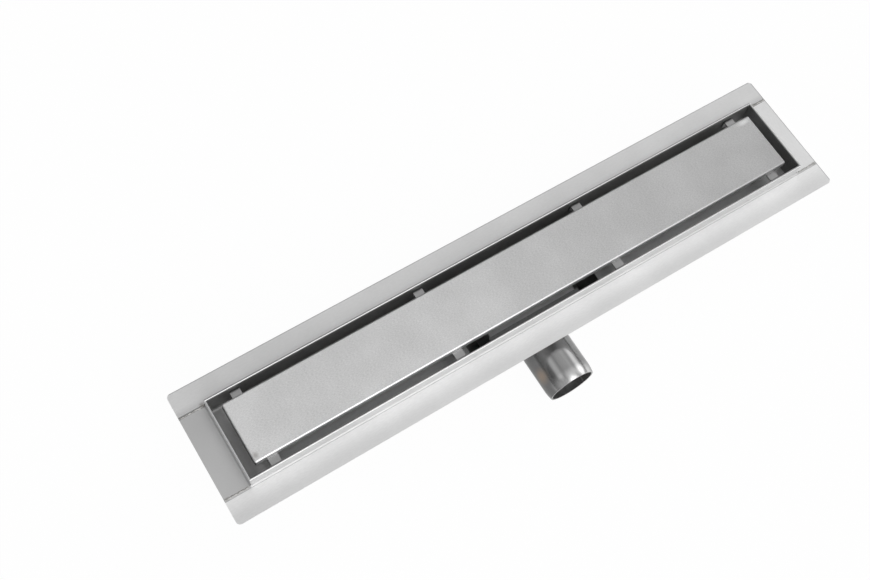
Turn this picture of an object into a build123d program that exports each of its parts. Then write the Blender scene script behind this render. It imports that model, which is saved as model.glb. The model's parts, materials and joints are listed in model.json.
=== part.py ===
from build123d import *
import os

# A linear shower drain folded and welded from stainless sheet, in millimetres.
# Origin: middle of the sump's flat underside. +X runs along the channel, +Y away from the outlet, +Z up.

# Flange, rim and channel
rim_length = 600.0            # over the outer faces of the upstand
rim_width = 82.0
end_flange = 25.0             # from the upstand to the flange's end
side_flange = 24.5
flange_corner_radius = 4.0
rim_height = 15.0             # upstand above the flange
rim_corner_radius = 2.0
channel_depth = 30.0          # rim top to the floor's upper face
overall_height = 85.0         # sump's underside to the rim top
sheet = 1.0
hem_gap = 0.2                 # between the two layers of the closed hem
flange_bend = 2.0             # inner radius
floor_bend = 3.0              # inner radius

# Lid, a folded pan lying on the lugs
lid_gap = 8.8                 # all round, to the rim's inner wall
lid_height = 7.0
lid_sheet = 1.5
lid_bend = 0.3                # inner radius
lid_corner_radius = 1.5

# Lugs that carry the lid
rest_width = 9.5
rest_reach = 12.0
rest_drop = 10.0
rest_sheet = 1.5
rest_bend = 1.0               # inner radius
rest_end_inset = 27.5         # outer lugs, from the rim's end
rest_sump_inset = 15.3        # inner lugs, from the floor opening's end

# Sump, a box welded under the floor opening
sump_length = 144.0           # inside
sump_width = 66.0             # inside
sump_sheet = 1.5
sump_bend = 1.0               # inner radius

# Outlet pipe
pipe_radius = 24.15
pipe_wall = 1.5
pipe_drop = 2.0               # floor's underside to the top of the pipe
pipe_reach = 34.5             # beyond the flange's front edge
pipe_mouth_radius = 23.0
pipe_mouth_length = 10.0
pipe_weld = 1.5               # leg of the fillet weld round the pipe
weld_clearance = 0.15         # between the pipe and its hole

# Weir round the pipe's mouth
weir_side_clearance = 3.0
weir_depth = 25.0
weir_bend = 3.0               # inner radius
water_seal = 26.0             # weir top above the bell's water windows

# Bell trap over the weir
bell_length = 96.0
bell_back_gap = 10.0
bell_drop = 1.5               # floor's upper face to the bell's top
bell_bend = 0.5               # inner radius
bell_window_height = 8.5
bell_foot_width = 10.0
bell_foot_clearance = 0.3
gasket_lip = 1.5              # rubber on each side of the sheet
gasket_depth = 5.0
gasket_grip = 3.0             # depth of the slot that takes the sheet
spring_width = 20.0
spring_sheet = 0.5
spring_foot = 8.0
spring_margin = 4.0           # from the water windows and from the bell's top fold
spring_clearance = 0.3
handle_span = 44.0
handle_height = 15.0
handle_width = 12.0
handle_sheet = 1.5
handle_foot = 10.0
handle_bend = 2.0             # inner radius

# Levels, measured up from the sump's underside
rim_top = overall_height
flange_top = rim_top - rim_height
floor_top = rim_top - channel_depth
floor_under = floor_top - sheet
rest_top = rim_top - lid_height
bell_top = floor_top - bell_drop
bell_foot = sump_sheet + bell_foot_clearance
window_top = bell_foot + bell_window_height
weir_top = window_top + water_seal
pipe_axis = floor_under - pipe_drop - pipe_radius

# Distances from the middle
flange_length = rim_length + 2 * end_flange
flange_width = rim_width + 2 * side_flange
rim_thickness = 2 * sheet + hem_gap
inner_half_length = rim_length / 2 - rim_thickness
inner_half_width = rim_width / 2 - rim_thickness
lid_length = 2 * (inner_half_length - lid_gap)
lid_width = 2 * (inner_half_width - lid_gap)
sump_front = -sump_width / 2
sump_back = sump_width / 2
gasket_front = sump_front
bell_front = gasket_front + gasket_depth - gasket_grip
bell_back = sump_back - bell_back_gap
pipe_end = -flange_width / 2 - pipe_reach
rest_outer = rim_length / 2 - rest_end_inset
rest_inner = sump_length / 2 + rest_sump_inset
rest_stations = (-rest_outer, -rest_inner, rest_inner, rest_outer)


def box(x, y, z):
    """Box between the given (low, high) limits."""
    size = [high - low for low, high in (x, y, z)]
    middle = [(low + high) / 2 for low, high in (x, y, z)]
    return Pos(*middle) * Box(*size)


def joined(*lines):
    """One wire from lines that follow each other."""
    return Wire([edge for line in lines for edge in line.edges()])


def rim_skin(edge, outer, inner, foot):
    """Visible face of a flange, its bend, the upstand, the hem and the inner wall down to foot."""
    hem_radius = (outer - inner) / 2
    hem_start = rim_top - hem_radius
    flange = FilletPolyline((edge, flange_top), (outer, flange_top), (outer, hem_start), radius=flange_bend)
    hem = ThreePointArc((outer, hem_start), (outer - hem_radius, rim_top), (inner, hem_start))
    if foot is None:
        wall = FilletPolyline((inner, hem_start), (inner, floor_top), (0, floor_top), radius=floor_bend)
    else:
        wall = Line((inner, hem_start), (inner, foot))
    return joined(flange, hem, wall)


def sheet_face(skin, thickness, side):
    """Section of a sheet whose visible face follows the wire skin."""
    return make_face(skin.offset_2d(thickness, side=side).edges())


def end_wall_zone():
    """Mitred footprint of the end wall at the right end."""
    outline = Polyline(
        (rim_length / 2, -rim_width / 2),
        (rim_length / 2, rim_width / 2),
        (inner_half_length, inner_half_width),
        (inner_half_length, -inner_half_width),
        close=True,
    )
    return Pos(0, 0, floor_under) * extrude(make_face(outline), amount=channel_depth + sheet)


def rim_corner_cut():
    """What rounding takes off the upstand at its back right corner."""
    radius = rim_corner_radius
    block = box(
        (rim_length / 2 - radius, rim_length / 2),
        (rim_width / 2 - radius, rim_width / 2),
        (flange_top, rim_top),
    )
    centre = Pos(rim_length / 2 - radius, rim_width / 2 - radius, (flange_top + rim_top) / 2)
    return block - centre * Cylinder(radius, rim_height)


def at_corners(shape):
    """The shape and its mirror images at the other three corners."""
    right = [shape, mirror(shape, Plane.XZ)]
    return right + [mirror(copy, Plane.YZ) for copy in right]


def channel_body():
    """Folded sheet: long flanges, upstands, hems, inner walls and floor."""
    half = rim_skin(flange_width / 2, rim_width / 2, inner_half_width, None)
    skin = joined(half, mirror(half, Plane.YZ))
    section = Plane.YZ * sheet_face(skin, sheet, Side.LEFT)
    body = extrude(section, amount=rim_length / 2, both=True)
    zone = end_wall_zone()
    body -= zone
    body -= mirror(zone, Plane.YZ)
    corner = box(
        (rim_length / 2, flange_length / 2),
        (rim_width / 2, flange_width / 2),
        (flange_top - sheet, flange_top),
    )
    outer_edge = corner.edges().filter_by(Axis.Z).sort_by(lambda edge: edge.center().X + edge.center().Y)[-1]
    corner = fillet(outer_edge, flange_corner_radius)
    for square in at_corners(corner):
        body += square
    for cut in at_corners(rim_corner_cut()):
        body -= cut
    opening = box(
        (-sump_length / 2, sump_length / 2),
        (sump_front, sump_back),
        (floor_under, floor_top),
    )
    return body - opening


def end_piece():
    """Folded end sheet at the right end, set between the long flanges."""
    skin = rim_skin(flange_length / 2, rim_length / 2, inner_half_length, floor_under)
    section = Plane.XZ * sheet_face(skin, sheet, Side.LEFT)
    piece = extrude(section, amount=rim_width / 2, both=True)
    flange_zone = box(
        (rim_length / 2, flange_length / 2),
        (-rim_width / 2, rim_width / 2),
        (flange_top - sheet - flange_bend, rim_top),
    )
    piece = piece & (end_wall_zone() + flange_zone)
    cut = rim_corner_cut()
    return piece - cut - mirror(cut, Plane.XZ)


def lid_rest(side, station):
    """L-shaped lug on the inner wall. side is -1 at the front and 1 at the back."""
    wall = side * inner_half_width
    tip = side * (inner_half_width - rest_reach)
    outer_bend = rest_bend + rest_sheet
    path = FilletPolyline(
        (wall, rest_top - rest_drop),
        (wall, rest_top),
        (tip, rest_top),
        radius=outer_bend,
    )
    face = sheet_face(joined(path), rest_sheet, Side.LEFT if side > 0 else Side.RIGHT)
    return Pos(station, 0, 0) * extrude(Plane.YZ * face, amount=rest_width / 2, both=True)


def lid():
    """Folded pan with closed corners, its open side down."""
    x = lid_length / 2
    y = lid_width / 2
    pan = box((-x, x), (-y, y), (rest_top, rim_top))
    pan = fillet(pan.edges().filter_by(Axis.Z), lid_corner_radius)
    pan = fillet(pan.faces().sort_by(Axis.Z)[-1].edges(), lid_bend + lid_sheet)
    hollow = box(
        (-x + lid_sheet, x - lid_sheet),
        (-y + lid_sheet, y - lid_sheet),
        (rest_top, rim_top - lid_sheet),
    )
    return pan - fillet(hollow.faces().sort_by(Axis.Z)[-1].edges(), lid_bend)


def sump_inside():
    """Space between the sump's front wall, base and back wall."""
    space = box(
        (-sump_length / 2, sump_length / 2),
        (sump_front, sump_back),
        (sump_sheet, floor_top),
    )
    lower_edges = space.edges().filter_by(Axis.X).sort_by(Axis.Z)[:2]
    return fillet(lower_edges, sump_bend)


def sump_shell():
    """Front wall, base and back wall, folded from one sheet, with the hole for the pipe."""
    outer_bend = sump_bend + sump_sheet
    path = FilletPolyline(
        (sump_front - sump_sheet, floor_under),
        (sump_front - sump_sheet, 0),
        (sump_back + sump_sheet, 0),
        (sump_back + sump_sheet, floor_under),
        radius=outer_bend,
    )
    face = sheet_face(joined(path), sump_sheet, Side.LEFT)
    shell = extrude(Plane.YZ * face, amount=sump_length / 2, both=True)
    hole = Rot(90, 0, 0) * Cylinder(pipe_radius + weld_clearance, sump_width / 2)
    return shell - Pos(0, sump_front, pipe_axis) * hole


def sump_cheek():
    """Plate that closes the sump's right end."""
    width = sump_width + 2 * sump_sheet
    plate = box(
        (sump_length / 2, sump_length / 2 + sump_sheet),
        (-width / 2, width / 2),
        (0, floor_under),
    )
    lower_edges = plate.edges().filter_by(Axis.X).sort_by(Axis.Z)[:2]
    return fillet(lower_edges, sump_bend + sump_sheet)


def outlet_pipe():
    """Tube through the sump's front wall with its fillet weld, its mouth drawn in to a smaller radius."""
    shoulder = pipe_end + pipe_mouth_length
    bore = pipe_radius - pipe_wall
    mouth_bore = pipe_mouth_radius - pipe_wall
    sump_face = sump_front - sump_sheet
    outline = [
        Line((bore, sump_front), (pipe_radius, sump_front)),
        Line((pipe_radius, sump_front), (pipe_radius, sump_face)),
        Line((pipe_radius, sump_face), (pipe_radius + pipe_weld, sump_face)),
        Line((pipe_radius + pipe_weld, sump_face), (pipe_radius, sump_face - pipe_weld)),
        Line((pipe_radius, sump_face - pipe_weld), (pipe_radius, shoulder)),
        TangentArc((pipe_radius, shoulder), (pipe_mouth_radius, pipe_end), tangent=(0, -1)),
        Line((pipe_mouth_radius, pipe_end), (mouth_bore, pipe_end)),
        TangentArc((bore, shoulder), (mouth_bore, pipe_end), tangent=(0, -1)),
        Line((bore, shoulder), (bore, sump_front)),
    ]
    section = make_face(joined(*outline).edges())
    return Pos(0, 0, pipe_axis) * revolve(section, axis=Axis.Y)


def weir_plate():
    """Plate folded round the pipe's mouth, standing on the sump's base."""
    side = pipe_radius + weir_side_clearance + sump_sheet
    back = sump_front + weir_depth
    path = FilletPolyline(
        (-side, sump_front),
        (-side, back),
        (side, back),
        (side, sump_front),
        radius=weir_bend + sump_sheet,
    )
    face = sheet_face(joined(path), sump_sheet, Side.RIGHT)
    return sump_inside() & extrude(face, amount=weir_top)


def trap_bell():
    """Inverted box, open at the front and below, with water windows between its feet."""
    x = bell_length / 2
    bell = box((-x, x), (bell_front, bell_back), (bell_foot, bell_top))
    top_edges = bell.faces().sort_by(Axis.Z)[-1].edges()
    folds = top_edges.sort_by(Axis.Y)[1:]
    back_edges = bell.edges().filter_by(Axis.Z).sort_by(Axis.Y)[-2:]
    bell = fillet(folds + back_edges, bell_bend + sump_sheet)
    hollow = box(
        (-x + sump_sheet, x - sump_sheet),
        (bell_front, bell_back - sump_sheet),
        (bell_foot, bell_top - sump_sheet),
    )
    side_window = box(
        (-x, x),
        (bell_front + bell_foot_width, bell_back - bell_foot_width),
        (bell_foot, window_top),
    )
    back_window = box(
        (-x + bell_foot_width, x - bell_foot_width),
        (bell_back - sump_sheet, bell_back),
        (bell_foot, window_top),
    )
    return bell - hollow - side_window - back_window


def bell_gasket():
    """Rubber edge profile along the bell's open front, slotted to grip the sheet."""
    x = bell_length / 2
    outer = box(
        (-x - gasket_lip, x + gasket_lip),
        (gasket_front, gasket_front + gasket_depth),
        (bell_foot, bell_top + gasket_lip),
    )
    inner_x = x - sump_sheet - gasket_lip
    inner = box(
        (-inner_x, inner_x),
        (gasket_front, gasket_front + gasket_depth),
        (bell_foot, bell_top - sump_sheet - gasket_lip),
    )
    slot_outer = box(
        (-x, x),
        (bell_front, gasket_front + gasket_depth),
        (bell_foot, bell_top),
    )
    slot_inner = box(
        (-x + sump_sheet, x - sump_sheet),
        (bell_front, gasket_front + gasket_depth),
        (bell_foot, bell_top - sump_sheet),
    )
    return sump_inside() & (outer - inner - (slot_outer - slot_inner))


def bell_spring():
    """Bowed leaf on the bell's back skirt, its crest at the sump's back wall."""
    low = window_top + spring_margin
    bow_start = low + spring_foot
    bow_end = bell_top - bell_bend - sump_sheet - spring_margin
    crest = sump_back - spring_clearance - spring_sheet
    foot = Line((bell_back, low), (bell_back, bow_start))
    bow = ThreePointArc((bell_back, bow_start), (crest, (bow_start + bow_end) / 2), (bell_back, bow_end))
    face = sheet_face(joined(foot, bow), spring_sheet, Side.RIGHT)
    return extrude(Plane.YZ * face, amount=spring_width / 2, both=True)


def bell_handle():
    """Folded strip handle on the bell's top."""
    half = handle_span / 2
    outer_bend = handle_bend + handle_sheet
    path = FilletPolyline(
        (-half - handle_foot, bell_top),
        (-half, bell_top),
        (-half, bell_top + handle_height),
        (half, bell_top + handle_height),
        (half, bell_top),
        (half + handle_foot, bell_top),
        radius=[outer_bend, handle_bend, handle_bend, outer_bend],
    )
    face = sheet_face(joined(path), handle_sheet, Side.LEFT)
    middle = (bell_front + bell_back) / 2
    return Pos(0, middle, 0) * extrude(Plane.XZ * face, amount=handle_width / 2, both=True)


def make_parts():
    """Every sub-part by name."""
    right_end = end_piece()
    right_cheek = sump_cheek()
    parts = {
        "channel_body": channel_body(),
        "end_piece_left": mirror(right_end, Plane.YZ),
        "end_piece_right": right_end,
        "lid": lid(),
        "sump_shell": sump_shell(),
        "sump_cheek_left": mirror(right_cheek, Plane.YZ),
        "sump_cheek_right": right_cheek,
        "outlet_pipe": outlet_pipe(),
        "weir_plate": weir_plate(),
        "trap_bell": trap_bell(),
        "bell_gasket": bell_gasket(),
        "bell_spring": bell_spring(),
        "bell_handle": bell_handle(),
    }
    for side, side_name in ((-1, "front"), (1, "back")):
        for number, station in enumerate(rest_stations, start=1):
            parts[f"lid_rest_{side_name}_{number}"] = lid_rest(side, station)
    return parts


os.makedirs("parts", exist_ok=True)
for name, shape in make_parts().items():
    export_step(shape, f"parts/{name}.step")
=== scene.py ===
"""Looks of a linear shower drain: brushed lid, satin flange and channel, polished outlet pipe.

Everything is in metres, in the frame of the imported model: +X along the channel, -Y out of the pipe, +Z up.
"""
import json
import math

import bmesh
import bpy
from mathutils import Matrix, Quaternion, Vector


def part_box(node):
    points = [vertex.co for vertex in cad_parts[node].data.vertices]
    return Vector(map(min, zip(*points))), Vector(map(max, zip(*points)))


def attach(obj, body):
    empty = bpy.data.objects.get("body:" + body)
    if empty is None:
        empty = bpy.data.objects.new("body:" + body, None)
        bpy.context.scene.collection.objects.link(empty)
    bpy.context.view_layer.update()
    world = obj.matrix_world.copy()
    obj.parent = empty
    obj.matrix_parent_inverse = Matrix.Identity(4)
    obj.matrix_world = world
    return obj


MM = 0.001


def grey(level):
    """A neutral colour."""
    return (level, level, level)


# Camera, solved from the photograph's edges
CAMERA_PLACE = Vector((-0.3497, -0.2842, 1.0433))
CAMERA_TARGET = Vector((-0.0753, 0.0274, 0.0851))
CAMERA_ROLL = 10.18            # degrees
CAMERA_LENS = 48.18            # mm
CAMERA_SENSOR = 36             # mm, the sensor's width

# Studio: soft patches of light in the surroundings, as (towards, half angle in degrees, softness, strength)
SURROUND_LEVEL = 0.33
SOFTBOXES = {
    "overhead": ((0.1, 0.25, 1.0), 18, 14, 0.46),
    "right_back": ((0.62, 0.25, 0.74), 16, 12, 0.40),
    "right_strip": ((0.86, 0.08, 0.5), 11, 8, 1.45),
    "left_high": ((-0.6, 0.3, 0.79), 10, 9, 0.82),
    "front_high": ((0.1, -0.6, 0.8), 20, 15, 2.10),
    "front_low": ((0.0, -0.95, 0.3), 20, 15, 1.50),
    "dark_back": ((-0.2, 0.95, 0.15), 35, 20, -0.28),
}
FLOOR_SIZE = 12
FLOOR_COLOUR = 0.90
FLOOR_GLOW = 0.97              # share of plain white that the camera sees instead of the lit floor
FLOOR_IN_METAL = 0.30          # how white the floor looks in the metal

# Colours, as linear values
SHEET_COLOUR = grey(0.78)
# painted shade: the left end piece is a darker copy of the sheet's colour
LEFT_END_SHADE_COLOUR = grey(0.60)
# painted light: the right end piece is a lighter copy of the sheet's colour
RIGHT_END_LIGHT_COLOUR = grey(0.84)
# painted shade on the back flange behind the rim
BACK_SHADE_COLOUR = grey(0.57)
# painted highlight on the front flange and on the lid's ends; also a rubbed smear on the lid
HIGHLIGHT_AND_RUB_COLOUR = grey(0.95)
# painted shade on the rim's crest; along the back a painted highlight instead
CREST_SHADE_COLOUR = grey(0.50)
BACK_CREST_HIGHLIGHT_COLOUR = grey(0.88)
# painted shade in the bend at the foot of the front rim
FRONT_FOOT_SHADE_COLOUR = grey(0.63)
# painted shade: a dark line at the foot of the rim's back
BACK_FOOT_SHADE_COLOUR = grey(0.34)
EDGE_COLOUR = grey(0.40)
# painted shade on the channel's inner walls
INNER_WALL_SHADE_COLOUR = grey(0.32)
FLOOR_SHEET_COLOUR = grey(0.80)
# painted shade on the channel floor at the left end
END_FLOOR_SHADE_COLOUR = grey(0.42)
HEAT_COLOUR = (0.16, 0.14, 0.12)
LID_COLOUR = grey(0.62)
# painted highlight on the lid's sides
LID_SIDE_HIGHLIGHT_COLOUR = grey(0.70)
# painted shade in a band on the lid's left end
LID_END_SHADE_COLOUR = grey(0.22)
PIPE_COLOUR = grey(0.32)
# painted shade on the pipe's left side
PIPE_SHADE_COLOUR = grey(0.17)
BORE_COLOUR = grey(0.52)
# painted highlight at the pipe's mouth and in its bore
MOUTH_HIGHLIGHT_COLOUR = grey(0.92)
TINT_COLOUR = (0.50, 0.36, 0.25)
SUMP_COLOUR = grey(0.45)
BELL_COLOUR = grey(0.85)
LUG_COLOUR = grey(0.35)
WELD_COLOUR = (0.62, 0.61, 0.59)
RUBBER_COLOUR = grey(0.30)

# Finish of all metal
CLOUD_SCALE = 18.0
GRAIN_SCALE = 900.0
METAL_DETAIL = 3.0
TONE_NOISE = (0.3, 0.7)        # values of a noise that are spread over its whole effect on the colour
GLOSS_NOISE = (0.2, 0.8)       # and on the roughness
GLOSS_SPREAD = 0.15            # of the roughness, up and down

# Rubber and weld metal
RUBBER_ROUGHNESS = 0.6
RUBBER_GRAIN_SCALE = 900.0
RUBBER_BUMP = 0.02 * MM
RUBBER_SPREAD = 2              # palest grain, times the rubber's colour
WELD_ROUGHNESS = 0.38
WELD_PATCH_SCALE = 350.0
WELD_PATCH_NOISE = (0.35, 0.65)
WELD_PATCH_SHADE = 0.6         # darkest patches, times the weld's colour
FINE_DETAIL = 2.0

# Sizes of the object that its zones of colour follow
RIM_HALF_LENGTH = 300 * MM
RIM_HEIGHT = 15 * MM           # above the flange
CHANNEL_DEPTH = 30 * MM        # from the rim's crest to the floor
HEM = 2.2 * MM
FLANGE_BEND = 2.2 * MM         # width of the bend between flange and rim
LID_EDGE = 1.4 * MM            # width of the bend round the lid's top
PIPE_WELD = 1.5 * MM           # leg of the weld round the pipe
PIPE_WELD_END = -36.2 * MM     # its end along Y
PIPE_SKIN = 1.35 * MM          # outer part of the pipe's wall, which has the outside's colour

# Zones of flange and channel, from the rim's outer faces, and the shares of their colours
FACE_MARGIN = 0.1 * MM
FRONT_HIGHLIGHT = 20 * MM            # width of the painted highlight strip on the front flange
FRONT_HIGHLIGHT_SHARE = 0.85
BACK_SHADE = 9 * MM             # width of the painted shade strip on the back flange
BACK_SHADE_SHARE = 0.75
BACK_FOOT_FULL = 1.2 * MM      # painted shade: a dark line at the foot of the rim's back
BACK_FOOT_GONE = 2.0 * MM
CUT_EDGE = 0.7 * MM            # width of the line along the flange's sheared edges
CUT_EDGE_SHARE = 0.75
CREST = 0.16 * MM              # depth of the rim's crest
CREST_GLOSS = 0.42             # share of the roughness left on the crest and the bend behind it
FLOOR_ZONE = 3 * MM            # height above the floor that has the floor's colour
END_FLOOR_FULL = 9 * MM        # painted shade on the floor at the left end, from the rim's end
END_FLOOR_GONE = 18 * MM
# Heat marks on the flange, as (X and Y, radii, share)
HEAT_MARKS = (
    ((-302 * MM, 42 * MM), (4 * MM, 4 * MM, 4 * MM), 0.60),
    ((309 * MM, 41.5 * MM), (10 * MM, 2.5 * MM, 3 * MM), 0.40),
    ((322 * MM, -41 * MM), (4 * MM, 2.5 * MM, 3 * MM), 0.50),
    ((-322 * MM, -41 * MM), (4 * MM, 2.5 * MM, 3 * MM), 0.45),
    ((-321 * MM, 41 * MM), (4 * MM, 2 * MM, 3 * MM), 0.30),
)

# Zones of the lid, from its own faces
LID_END = 0.4 * MM             # thickness of the painted highlight on the left end's face
BAND_FOOT = (2.0 * MM, 2.8 * MM)       # shaded band on that face, fading in above the lid's foot
BAND_HEAD = (2.4 * MM, 1.6 * MM)       # and out below its top
SMEAR_INSET = (9 * MM, 4 * MM)         # from the back right corner
SMEAR_RADII = (11 * MM, 4 * MM, 3 * MM)
SMEAR_SHARE = 0.8
SCORCH_INSET = (4 * MM, 6 * MM)        # from the front left corner
SCORCH_RADII = (4 * MM, 5 * MM, 3 * MM)
SCORCH_SHARE = 0.45
LID_SIDE_GLOSS = 0.75          # share of the top's roughness on the sides

# Zones of the pipe
PIPE_SHADE = (-18.5 * MM, -12.5 * MM)   # X over which the painted shade on the left side fades out
PIPE_SHADE_SHARE = 0.85
TINT_INSET = 3 * MM            # from the pipe's left side
TINT_Y = -80 * MM
TINT_LIFT = 8 * MM             # above the axis
TINT_RADII = (9 * MM, 11 * MM, 12 * MM)
TINT_SHARE = 0.45
# painted highlight: a bright streak inside the bore
BORE_HIGHLIGHT_PLACE = (16.6 * MM, -96 * MM, 13.8 * MM)
BORE_HIGHLIGHT_RADII = (1.6 * MM, 12 * MM, 1.8 * MM)
MOUTH_FULL = 1 * MM            # painted highlight at the mouth, from the pipe's end
MOUTH_GONE = 13 * MM
MOUTH_SHARE = 0.9
MOUTH_FOOT = 10 * MM           # above the axis: the painted highlight starts here
MOUTH_HEAD = 20 * MM           # and is full from here
BORE_GLOSS = 2.0               # roughness of the bore, times that of the outside

# Weld beads, with their sizes as (width, height)
FLANGE_BEAD = (1.3 * MM, 0.18 * MM)
SUMP_BEAD = (2.2 * MM, 0.4 * MM)
SUMP_TOP_BEAD = (2.6 * MM, 1.0 * MM)
BEAD_PITCH = 0.9 * MM          # length of one ripple
BEAD_STEPS = 4                 # points along one ripple
BEAD_RIPPLE = 0.18             # of the height
BEAD_FACES = 6                 # over the bead's arc
BEAD_SINK = 0.02 * MM          # how deep the bead's edges lie in the sheet
BEAD_END = 0.5                 # size at the very end, times the full size
BEAD_GROWTH = 0.25             # added at each further point
WANDER = 0.35 * MM             # how far the flange beads leave their line
WANDER_RATES = (0.3, 0.11)
FLANGE_BEAD_START = 2 * MM     # beyond the rim's end
FLANGE_BEAD_END = 0.5 * MM     # short of the flange's edge
SUMP_BEAD_FOOT = 4 * MM        # above the base, which stays flat
SUMP_BEAD_HEAD = 1 * MM        # below the shell's top
SIDES = ((-1, "left"), (1, "right"))


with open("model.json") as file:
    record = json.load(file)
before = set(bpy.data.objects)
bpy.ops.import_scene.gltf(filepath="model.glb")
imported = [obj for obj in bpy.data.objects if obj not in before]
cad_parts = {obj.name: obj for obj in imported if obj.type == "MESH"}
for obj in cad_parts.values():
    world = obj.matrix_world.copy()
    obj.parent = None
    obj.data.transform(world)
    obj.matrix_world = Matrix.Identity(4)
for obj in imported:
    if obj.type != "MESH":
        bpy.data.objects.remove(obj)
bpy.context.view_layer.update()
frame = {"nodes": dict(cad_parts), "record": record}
bpy.context.scene.view_settings.view_transform = "Standard"

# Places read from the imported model
body_high = Vector(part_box("channel_body")[1])
end_high = Vector(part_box("end_piece_right")[1])
pipe_low, pipe_high = (Vector(corner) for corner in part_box("outlet_pipe"))
lid_low, lid_high = (Vector(corner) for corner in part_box("lid"))
shell_low, shell_high = (Vector(corner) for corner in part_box("sump_shell"))
cheek_low, cheek_high = (Vector(corner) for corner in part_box("sump_cheek_right"))
rim_half_width = end_high.y
rim_top = body_high.z
flange_top = rim_top - RIM_HEIGHT
floor_level = rim_top - CHANNEL_DEPTH + FLOOR_ZONE
pipe_radius = (pipe_high.x - pipe_low.x) / 2 - PIPE_WELD
pipe_bore = pipe_radius - PIPE_SKIN
pipe_axis = (pipe_high.z + pipe_low.z) / 2


def node(tree, kind, **inputs):
    """A shader node with some of its sockets set. A key is a socket's name, or an i and its index."""
    made = tree.nodes.new(kind)
    for key, value in inputs.items():
        socket = made.inputs[int(key[1:])] if key[1:].isdigit() else made.inputs[key]
        if isinstance(value, bpy.types.NodeSocket):
            tree.links.new(value, socket)
        else:
            socket.default_value = value
    return made


def maths(tree, operation, first, second=0.0, third=0.0):
    """Result of one Math node."""
    made = node(tree, "ShaderNodeMath", i0=first, i1=second, i2=third)
    made.operation = operation
    return made.outputs[0]


def vector_maths(tree, operation, first, second=(0, 0, 0)):
    """Result of one Vector Math node."""
    made = node(tree, "ShaderNodeVectorMath", i0=first, i1=second)
    made.operation = operation
    return made.outputs["Value" if operation in ("LENGTH", "DOT_PRODUCT") else "Vector"]


def axes(tree, place):
    """X, Y and Z of a place."""
    return node(tree, "ShaderNodeSeparateXYZ", i0=place).outputs


def noise(tree, place, scale, detail=FINE_DETAIL, stretch=(1, 1, 1)):
    """Noise from 0 to 1 over a place, stretched along X, Y and Z."""
    spread = vector_maths(tree, "MULTIPLY", place, Vector([scale / s for s in stretch]))
    return node(tree, "ShaderNodeTexNoise", Vector=spread, Scale=1.0, Detail=detail).outputs["Fac"]


def ramp(tree, value, low, high, out_low=0.0, out_high=1.0):
    """A value from low to high, eased and mapped to out_low to out_high."""
    made = node(tree, "ShaderNodeMapRange", i0=value, i1=low, i2=high, i3=out_low, i4=out_high)
    made.interpolation_type = "SMOOTHSTEP"
    return made.outputs[0]


def blend(tree, share, first, second):
    """Mix of two colours, where share is that of the second."""
    made = tree.nodes.new("ShaderNodeMix")
    made.data_type = "RGBA"
    for socket, value in ((made.inputs[0], share), (made.inputs[6], first), (made.inputs[7], second)):
        if isinstance(value, bpy.types.NodeSocket):
            tree.links.new(value, socket)
        elif hasattr(value, "__len__"):
            socket.default_value = (*value, 1.0)
        else:
            socket.default_value = value
    return made.outputs[2]


def paint(tree, under, colour, share, *more_shares):
    """A colour laid over another one, by the product of the shares."""
    for other in more_shares:
        share = maths(tree, "MULTIPLY", share, other)
    return blend(tree, share, under, colour)


def near(tree, place, centre, radii):
    """1 near a centre, fading to 0 at the radii along X, Y and Z."""
    offset = vector_maths(tree, "SUBTRACT", place, Vector(centre))
    scaled = vector_maths(tree, "DIVIDE", offset, Vector(radii))
    return ramp(tree, vector_maths(tree, "LENGTH", scaled), 0.0, 1.0, 1.0, 0.0)


def beyond(tree, place, half_length, half_width):
    """1 where a place lies outside an upright box round the middle, else 0."""
    x, y = axes(tree, place)[:2]
    return maths(tree, "MAXIMUM", maths(tree, "GREATER_THAN", maths(tree, "ABSOLUTE", x), half_length),
                 maths(tree, "GREATER_THAN", maths(tree, "ABSOLUTE", y), half_width))


def new_material(name):
    """An empty material with its tree, its shader and the object's own coordinates."""
    material = bpy.data.materials.new(name)
    material.use_nodes = True
    tree = material.node_tree
    shader = tree.nodes["Principled BSDF"]
    place = tree.nodes.new("ShaderNodeTexCoord").outputs["Object"]
    return material, tree, shader, place


def metal(name, colour, roughness, grain, grain_bump, grain_scale=GRAIN_SCALE, clouds=0.04, grain_tone=0.03,
          anisotropy=0.0, zones=None, gloss=None):
    """Steel with a directional grain, faint clouds in its colour and a little uneven gloss.

    grain stretches the grain along X, Y and Z. zones(tree, place, colour) may add to the colour, and
    gloss(tree, place, roughness) to the roughness.
    """
    material, tree, shader, place = new_material(name)
    shader.inputs["Metallic"].default_value = 1.0
    cloud = noise(tree, place, CLOUD_SCALE, METAL_DETAIL)
    fine = noise(tree, place, grain_scale, METAL_DETAIL, grain)
    tone = maths(tree, "ADD", ramp(tree, cloud, *TONE_NOISE, 1 - clouds, 1 + clouds),
                 ramp(tree, fine, *TONE_NOISE, -grain_tone, grain_tone))
    painted = node(tree, "ShaderNodeVectorMath", i0=zones(tree, place, colour) if zones else colour)
    painted.operation = "SCALE"
    tree.links.new(tone, painted.inputs["Scale"])
    tree.links.new(painted.outputs[0], shader.inputs["Base Color"])
    rough = ramp(tree, fine, *GLOSS_NOISE, roughness * (1 - GLOSS_SPREAD), roughness * (1 + GLOSS_SPREAD))
    if gloss:
        rough = gloss(tree, place, rough)
    tree.links.new(rough, shader.inputs["Roughness"])
    if anisotropy:
        shader.inputs["Anisotropic"].default_value = anisotropy
        tangent = node(tree, "ShaderNodeCombineXYZ", i0=0.0, i1=1.0, i2=1.0)
        tree.links.new(tangent.outputs[0], shader.inputs["Tangent"])
    bump = node(tree, "ShaderNodeBump", Strength=1.0, Distance=grain_bump, Height=fine)
    tree.links.new(bump.outputs[0], shader.inputs["Normal"])
    return material


def on_crest(tree, height):
    """1 on the rim's crest, else 0."""
    return ramp(tree, height, rim_top - CREST, rim_top - CREST / 2)


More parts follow.
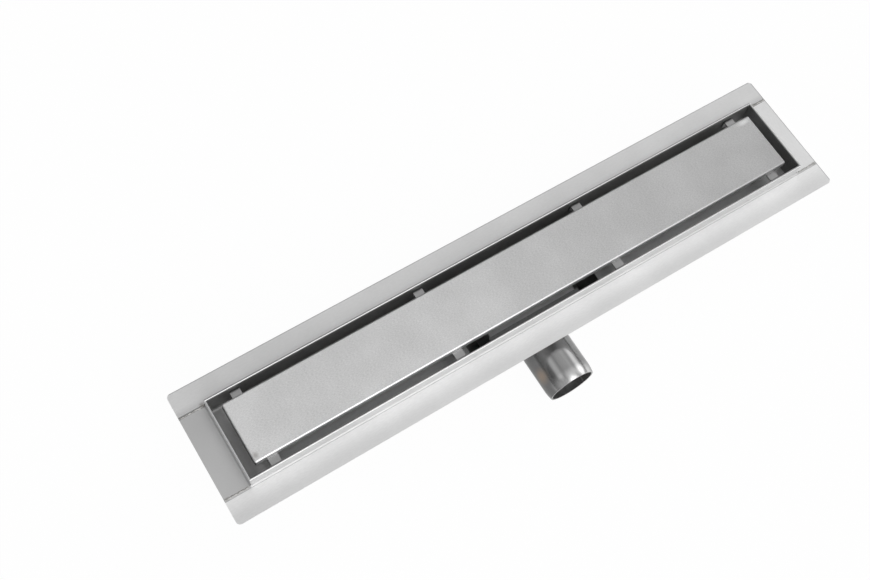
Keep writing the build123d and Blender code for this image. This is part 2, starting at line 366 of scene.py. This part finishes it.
def flange_zones(tree, x, y, colour):
    """A painted highlight strip on the front flange, painted shade on the back flange and at the feet of the
    rim, and the sheared edges.
    """
    in_front = maths(tree, "LESS_THAN", y, -rim_half_width + FACE_MARGIN)
    bend = -rim_half_width - FLANGE_BEND
    # painted highlight: a lighter strip on the front flange beside the rim
    front_highlight = ramp(tree, y, -rim_half_width - FRONT_HIGHLIGHT, bend, 0.0, FRONT_HIGHLIGHT_SHARE)
    painted = paint(tree, colour, HIGHLIGHT_AND_RUB_COLOUR, front_highlight, in_front)
    # painted shade in the bend at the foot of the front rim
    painted = paint(tree, painted, FRONT_FOOT_SHADE_COLOUR, maths(tree, "GREATER_THAN", y, bend), in_front)
    behind = maths(tree, "GREATER_THAN", y, rim_half_width - HEM / 2)
    # painted shade on the back flange, fading out away from the rim
    painted_shade = ramp(tree, y, rim_half_width, rim_half_width + BACK_SHADE, BACK_SHADE_SHARE, 0.0)
    painted = paint(tree, painted, BACK_SHADE_COLOUR, painted_shade, behind)
    # painted shade: a dark line where the back flange meets the rim
    foot = ramp(tree, y, rim_half_width + BACK_FOOT_FULL, rim_half_width + BACK_FOOT_GONE, 1.0, 0.0)
    painted = paint(tree, painted, BACK_FOOT_SHADE_COLOUR, foot, behind)
    sheared = maths(tree, "MAXIMUM", maths(tree, "GREATER_THAN", x, body_high.x - CUT_EDGE),
                    maths(tree, "GREATER_THAN", y, body_high.y - CUT_EDGE))
    return paint(tree, painted, EDGE_COLOUR, sheared, CUT_EDGE_SHARE)


def channel_zones(tree, place, colour):
    """Painted shade on the walls inside the rim and on the floor at its left end, a pale floor, painted
    shade and highlight on the rim's crest, the flange's zones and heat marks.
    """
    x, y, z = axes(tree, place)
    flange = flange_zones(tree, x, y, colour)
    # painted shade on the channel floor near the left end, fading out inwards
    inwards = ramp(tree, x, -RIM_HALF_LENGTH + END_FLOOR_FULL, -RIM_HALF_LENGTH + END_FLOOR_GONE)
    floor = blend(tree, inwards, END_FLOOR_SHADE_COLOUR, FLOOR_SHEET_COLOUR)
    # painted shade on the channel's inner walls; the floor's zone keeps the floor's colour
    inside = blend(tree, maths(tree, "LESS_THAN", z, floor_level), INNER_WALL_SHADE_COLOUR, floor)
    outside = beyond(tree, place, RIM_HALF_LENGTH - HEM / 2, rim_half_width - HEM / 2)
    painted = blend(tree, outside, inside, flange)
    at_back = maths(tree, "GREATER_THAN", y, rim_half_width - HEM)
    # painted shade on the rim's crest, and a painted highlight on it along the back
    crest_light_and_shade = blend(tree, at_back, CREST_SHADE_COLOUR, BACK_CREST_HIGHLIGHT_COLOUR)
    painted = blend(tree, on_crest(tree, z), painted, crest_light_and_shade)
    for spot, radii, share in HEAT_MARKS:
        painted = paint(tree, painted, HEAT_COLOUR, near(tree, place, (*spot, flange_top), radii), share)
    return painted


def channel_gloss(tree, place, roughness):
    """The crest of the rim and the bend behind it are smooth from rubbing."""
    y, z = axes(tree, place)[1:]
    behind = maths(tree, "MULTIPLY", maths(tree, "GREATER_THAN", y, rim_half_width),
                   maths(tree, "LESS_THAN", y, rim_half_width + FLANGE_BEND))
    smooth = maths(tree, "MAXIMUM", on_crest(tree, z), behind)
    return maths(tree, "MULTIPLY", roughness, ramp(tree, smooth, 0.0, 1.0, 1.0, CREST_GLOSS))


def lid_sides(tree, place):
    """1 on the lid's folded sides, else 0."""
    return beyond(tree, place, lid_high.x - LID_EDGE, lid_high.y - LID_EDGE)


def lid_zones(tree, place, colour):
    """Painted highlight on the sides and both ends, a shaded band on the left end, a smear at one corner and
    a scorch at another.
    """
    parts = axes(tree, place)
    x, z = parts[0], parts[2]
    # painted highlight on the lid's folded sides
    painted = blend(tree, lid_sides(tree, place), colour, LID_SIDE_HIGHLIGHT_COLOUR)
    # painted highlight on the lid's right end and on the face of its left end
    right_end = maths(tree, "GREATER_THAN", x, lid_high.x - LID_EDGE)
    painted = blend(tree, right_end, painted, HIGHLIGHT_AND_RUB_COLOUR)
    left_end = maths(tree, "LESS_THAN", x, lid_low.x + LID_END)
    painted = blend(tree, left_end, painted, HIGHLIGHT_AND_RUB_COLOUR)
    above = ramp(tree, z, lid_low.z + BAND_FOOT[0], lid_low.z + BAND_FOOT[1])
    below = ramp(tree, z, lid_high.z - BAND_HEAD[0], lid_high.z - BAND_HEAD[1], 1.0, 0.0)
    # painted shade: a dark band across the left end's face
    painted = paint(tree, painted, LID_END_SHADE_COLOUR, left_end, maths(tree, "MULTIPLY", above, below))
    smear = near(tree, place, (lid_high.x - SMEAR_INSET[0], lid_high.y - SMEAR_INSET[1], lid_high.z),
                 SMEAR_RADII)
    painted = paint(tree, painted, HIGHLIGHT_AND_RUB_COLOUR, smear, SMEAR_SHARE)
    scorch = near(tree, place, (lid_low.x + SCORCH_INSET[0], lid_low.y + SCORCH_INSET[1], lid_high.z),
                  SCORCH_RADII)
    return paint(tree, painted, HEAT_COLOUR, scorch, SCORCH_SHARE)


def lid_gloss(tree, place, roughness):
    """The folded sides are smoother than the brushed top."""
    side = lid_sides(tree, place)
    return maths(tree, "MULTIPLY", roughness, ramp(tree, side, 0.0, 1.0, 1.0, LID_SIDE_GLOSS))


def off_axis(tree, place):
    """Distance of a place from the pipe's axis."""
    offset = vector_maths(tree, "SUBTRACT", place, Vector((0, 0, pipe_axis)))
    flat = vector_maths(tree, "MULTIPLY", offset, Vector((1, 0, 1)))
    return vector_maths(tree, "LENGTH", flat)


def pipe_zones(tree, place, colour):
    """Painted shade on the left side with a brown heat tint, a pickled bore with a painted highlight, a
    painted highlight at the mouth, the weld.
    """
    x, y, z = axes(tree, place)
    distance = off_axis(tree, place)
    # painted shade over the pipe's left side
    painted_shade = ramp(tree, x, *PIPE_SHADE, PIPE_SHADE_SHARE, 0.0)
    painted = blend(tree, painted_shade, colour, PIPE_SHADE_COLOUR)
    tinted = near(tree, place, (-pipe_radius + TINT_INSET, TINT_Y, pipe_axis + TINT_LIFT), TINT_RADII)
    painted = paint(tree, painted, TINT_COLOUR, tinted, TINT_SHARE)
    painted = blend(tree, maths(tree, "LESS_THAN", distance, pipe_bore), painted, BORE_COLOUR)
    # painted highlight: a bright streak inside the bore
    bore_highlight = near(tree, place, BORE_HIGHLIGHT_PLACE, BORE_HIGHLIGHT_RADII)
    painted = blend(tree, bore_highlight, painted, MOUTH_HIGHLIGHT_COLOUR)
    # painted highlight on the top of the pipe near its mouth
    mouth_highlight = ramp(tree, y, pipe_low.y + MOUTH_FULL, pipe_low.y + MOUTH_GONE, MOUTH_SHARE, 0.0)
    upper = ramp(tree, z, pipe_axis + MOUTH_FOOT, pipe_axis + MOUTH_HEAD)
    outside = maths(tree, "GREATER_THAN", distance, pipe_bore)
    painted = paint(tree, painted, MOUTH_HIGHLIGHT_COLOUR, mouth_highlight, upper, outside)
    return blend(tree, maths(tree, "GREATER_THAN", y, PIPE_WELD_END), painted, WELD_COLOUR)


def pipe_gloss(tree, place, roughness):
    """The bore is duller than the polished outside."""
    bore = maths(tree, "LESS_THAN", off_axis(tree, place), pipe_bore)
    return maths(tree, "MULTIPLY", roughness, ramp(tree, bore, 0.0, 1.0, 1.0, BORE_GLOSS))


def satin(name, colour, grain):
    """Satin sheet of the channel and its end pieces."""
    return metal(name, colour, roughness=0.55, grain=grain, grain_bump=0.004 * MM, clouds=0.03,
                 zones=channel_zones, gloss=channel_gloss)


def rubber():
    """Matt grey rubber."""
    material, tree, shader, place = new_material("gasket rubber")
    shader.inputs["Roughness"].default_value = RUBBER_ROUGHNESS
    grain = noise(tree, place, RUBBER_GRAIN_SCALE)
    colour = blend(tree, grain, RUBBER_COLOUR, tuple(RUBBER_SPREAD * v for v in RUBBER_COLOUR))
    tree.links.new(colour, shader.inputs["Base Color"])
    bump = node(tree, "ShaderNodeBump", Strength=1.0, Distance=RUBBER_BUMP, Height=grain)
    tree.links.new(bump.outputs[0], shader.inputs["Normal"])
    return material


def weld_material():
    """Cooled weld metal in darker and paler patches."""
    material, tree, shader, place = new_material("weld")
    shader.inputs["Metallic"].default_value = 1.0
    shader.inputs["Roughness"].default_value = WELD_ROUGHNESS
    patches = ramp(tree, noise(tree, place, WELD_PATCH_SCALE), *WELD_PATCH_NOISE)
    colour = blend(tree, patches, WELD_COLOUR, tuple(WELD_PATCH_SHADE * v for v in WELD_COLOUR))
    tree.links.new(colour, shader.inputs["Base Color"])
    return material


def line_points(start, end):
    """Evenly spaced points from start to end, close enough for a bead's ripples."""
    count = max(2, round((end - start).length / (BEAD_PITCH / BEAD_STEPS)))
    return [start.lerp(end, step / count) for step in range(count + 1)]


def wander(points):
    """Points a little off their line, as a hand leads them."""
    first, second = WANDER_RATES
    return [point + Vector((0, WANDER * math.sin(first * number) * math.sin(second * number), 0))
            for number, point in enumerate(points)]


def bead(name, points, up, size, material):
    """Rippled weld bead of a (width, height) along points, on a surface whose normal is up."""
    width, height = size
    mesh = bpy.data.meshes.new(name)
    made = bmesh.new()
    last = len(points) - 1
    rings = []
    for number, point in enumerate(points):
        ahead = points[min(number + 1, last)] - points[max(number - 1, 0)]
        side = ahead.cross(up).normalized()
        ripple = 1 + BEAD_RIPPLE * math.sin(2 * math.pi * number / BEAD_STEPS)
        fade = min(1.0, BEAD_END + BEAD_GROWTH * min(number, last - number))
        ring = []
        for step in range(BEAD_FACES + 1):
            angle = math.pi * step / BEAD_FACES
            ring.append(made.verts.new(
                point + side * math.cos(angle) * width / 2 * fade
                + up * (math.sin(angle) * height * ripple * fade - BEAD_SINK)))
        rings.append(ring)
    for first, second in zip(rings, rings[1:]):
        for step in range(BEAD_FACES):
            made.faces.new((first[step], first[step + 1], second[step + 1], second[step]))
        made.faces.new((first[-1], first[0], second[0], second[-1]))
    made.faces.new(rings[0])
    made.faces.new(rings[-1])
    bmesh.ops.recalc_face_normals(made, faces=made.faces)
    for face in made.faces:
        face.smooth = True
    made.to_mesh(mesh)
    made.free()
    piece = bpy.data.objects.new(name, mesh)
    bpy.context.collection.objects.link(piece)
    mesh.materials.append(material)
    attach(piece, "root")


def weld_flange(material):
    """Beads on the seams between the long flanges and the end pieces."""
    for side_x, side_name in SIDES:
        for side_y, depth_name in ((-1, "front"), (1, "back")):
            start = Vector((side_x * (RIM_HALF_LENGTH + FLANGE_BEAD_START), side_y * rim_half_width,
                            flange_top))
            end = Vector((side_x * (body_high.x - FLANGE_BEAD_END), side_y * rim_half_width, flange_top))
            bead(f"flange_weld_{depth_name}_{side_name}", wander(line_points(start, end)),
                 Vector((0, 0, 1)), FLANGE_BEAD, material)


def weld_sump(material):
    """Beads up the sump's corners and round its top, outside."""
    top = shell_high.z
    for side_y, depth_name, face in ((-1, "front", shell_low.y), (1, "back", shell_high.y)):
        for side_x, side_name in SIDES:
            foot = Vector((side_x * cheek_low.x, face, SUMP_BEAD_FOOT))
            head = Vector((side_x * cheek_low.x, face, top - SUMP_BEAD_HEAD))
            bead(f"sump_weld_{depth_name}_{side_name}", line_points(foot, head),
                 Vector((0, side_y, 0)), SUMP_BEAD, material)
        left = Vector((-cheek_high.x, face, top))
        right = Vector((cheek_high.x, face, top))
        bead(f"sump_top_weld_{depth_name}", line_points(left, right),
             Vector((0, side_y, -1)).normalized(), SUMP_TOP_BEAD, material)
    for side_x, side_name in SIDES:
        front = Vector((side_x * cheek_high.x, shell_low.y, top))
        back = Vector((side_x * cheek_high.x, shell_high.y, top))
        bead(f"sump_top_weld_{side_name}", line_points(front, back),
             Vector((side_x, 0, -1)).normalized(), SUMP_TOP_BEAD, material)


def make_surroundings():
    """World: white behind the object, and soft patches of light round it."""
    world = bpy.data.worlds.new("studio")
    bpy.context.scene.world = world
    world.use_nodes = True
    tree = world.node_tree
    tree.nodes.clear()
    towards = tree.nodes.new("ShaderNodeTexCoord").outputs["Generated"]
    total = SURROUND_LEVEL
    for direction, half_angle, softness, strength in SOFTBOXES.values():
        facing = vector_maths(tree, "DOT_PRODUCT", towards, Vector(direction).normalized())
        edge = math.cos(math.radians(half_angle + softness))
        core = math.cos(math.radians(max(half_angle - softness, 0)))
        total = maths(tree, "MULTIPLY_ADD", ramp(tree, facing, edge, core), strength, total)
    studio = node(tree, "ShaderNodeBackground", Color=(1, 1, 1, 1), Strength=total)
    white = node(tree, "ShaderNodeBackground", Color=(1, 1, 1, 1), Strength=1.0)
    camera_ray = tree.nodes.new("ShaderNodeLightPath").outputs["Is Camera Ray"]
    mixed = node(tree, "ShaderNodeMixShader", i0=camera_ray, i1=studio.outputs[0], i2=white.outputs[0])
    output = tree.nodes.new("ShaderNodeOutputWorld")
    tree.links.new(mixed.outputs[0], output.inputs[0])


def make_floor():
    """Pale floor that the sump stands on."""
    bpy.ops.mesh.primitive_plane_add(size=FLOOR_SIZE)
    floor = bpy.context.object
    floor.name = "floor"
    material = bpy.data.materials.new("floor")
    material.use_nodes = True
    tree = material.node_tree
    tree.nodes.clear()
    path = tree.nodes.new("ShaderNodeLightPath").outputs
    seen = maths(tree, "MAXIMUM", path["Is Camera Ray"], path["Is Transmission Ray"])
    share = maths(tree, "MAXIMUM", maths(tree, "MULTIPLY", seen, FLOOR_GLOW),
                  maths(tree, "MULTIPLY", path["Is Glossy Ray"], FLOOR_IN_METAL))
    lit = node(tree, "ShaderNodeBsdfDiffuse", Color=(*grey(FLOOR_COLOUR), 1))
    glow = node(tree, "ShaderNodeEmission", Color=(1, 1, 1, 1), Strength=1.0)
    mixed = node(tree, "ShaderNodeMixShader", i0=share, i1=lit.outputs[0], i2=glow.outputs[0])
    output = tree.nodes.new("ShaderNodeOutputMaterial")
    tree.links.new(mixed.outputs[0], output.inputs[0])
    floor.data.materials.append(material)


def make_camera():
    """Camera at the photograph's place."""
    data = bpy.data.cameras.new("camera")
    data.lens = CAMERA_LENS
    data.sensor_width = CAMERA_SENSOR
    camera = bpy.data.objects.new("camera", data)
    bpy.context.collection.objects.link(camera)
    aim = (CAMERA_TARGET - CAMERA_PLACE).to_track_quat("-Z", "Y")
    camera.rotation_mode = "QUATERNION"
    camera.rotation_quaternion = aim @ Quaternion((0, 0, 1), math.radians(CAMERA_ROLL))
    camera.location = CAMERA_PLACE
    bpy.context.scene.camera = camera


materials = {
    "body_steel": satin("satin sheet", SHEET_COLOUR, grain=(4, 1, 1)),
    "lid_steel": metal("brushed lid", LID_COLOUR, roughness=0.48, grain=(3, 1, 1), grain_bump=0.006 * MM,
                       grain_scale=1600.0, clouds=0.055, grain_tone=0.12, anisotropy=0.85,
                       zones=lid_zones, gloss=lid_gloss),
    "pipe_steel": metal("polished tube", PIPE_COLOUR, roughness=0.19, grain=(1, 6, 1),
                        grain_bump=0.0005 * MM, clouds=0.05, zones=pipe_zones, gloss=pipe_gloss),
    "sump_steel": metal("plain sheet", SUMP_COLOUR, roughness=0.35, grain=(3, 1, 1), grain_bump=0.006 * MM),
    "lug_steel": metal("lug sheet", LUG_COLOUR, roughness=0.35, grain=(1, 3, 1), grain_bump=0.008 * MM,
                       clouds=0.12),
    "bell_steel": metal("bell sheet", BELL_COLOUR, roughness=0.55, grain=(5, 1, 1), grain_bump=0.006 * MM),
    "spring_steel": metal("spring strip", SUMP_COLOUR, roughness=0.22, grain=(1, 1, 4),
                          grain_bump=0.004 * MM),
    "gasket_rubber": rubber(),
}
# painted light and shade: the two end pieces are lighter and darker copies of one satin sheet
end_materials = {
    f"end_piece_{side}": satin(f"satin sheet, {side} end", colour, grain=(1, 4, 1))
    for side, colour in (("left", LEFT_END_SHADE_COLOUR), ("right", RIGHT_END_LIGHT_COLOUR))
}
slot_of = {entry["node"]: entry["material_slot"] for entry in frame["record"]["subparts"]}
for name, thing in frame["nodes"].items():
    thing.data.materials.clear()
    thing.data.materials.append(end_materials.get(name, materials[slot_of[name]]))

weld = weld_material()
weld_flange(weld)
weld_sump(weld)
make_surroundings()
make_floor()
make_camera()
